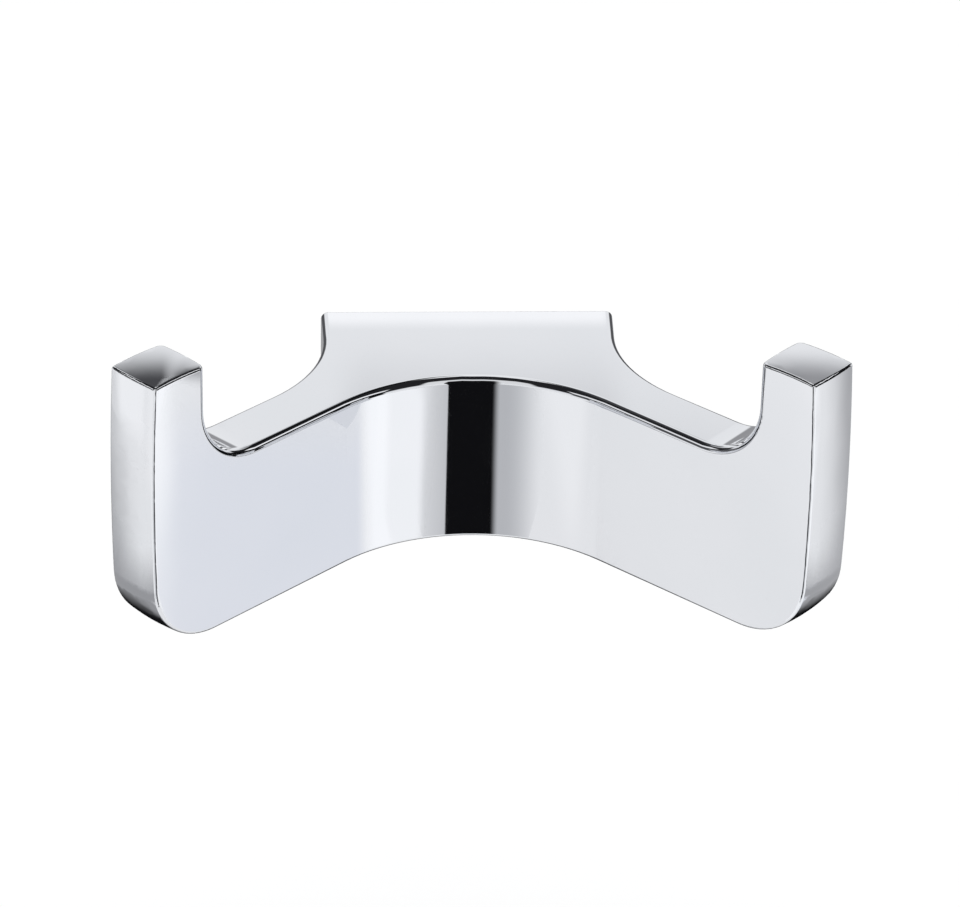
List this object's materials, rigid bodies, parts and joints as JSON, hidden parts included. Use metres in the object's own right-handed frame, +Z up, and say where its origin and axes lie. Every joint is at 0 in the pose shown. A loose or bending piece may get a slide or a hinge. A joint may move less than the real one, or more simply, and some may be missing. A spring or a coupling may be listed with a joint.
{
  "type": "towel hook",
  "caption": "Polished chrome wall hook whose arms swing forward from a central neck and end in upright horns, held on a concealed bracket by a grub screw from below.",
  "frame": {"origin": "centre of the wall face, on the wall plane", "axes": "+X to the right as seen from the room, +Y into the wall, +Z up"},
  "size_m": [0.1208, 0.0613, 0.051],
  "materials": {
    "chrome": "mirror-polished chrome plate on a zinc casting",
    "plated_steel": "bright zinc-plated steel, satin",
    "dark_steel": "blackened steel"
  },
  "bodies": {
    "root": {"hook_body": "chrome", "wall_bracket": "plated_steel", "grub_screw": "dark_steel"}
  },
  "joints": []
}
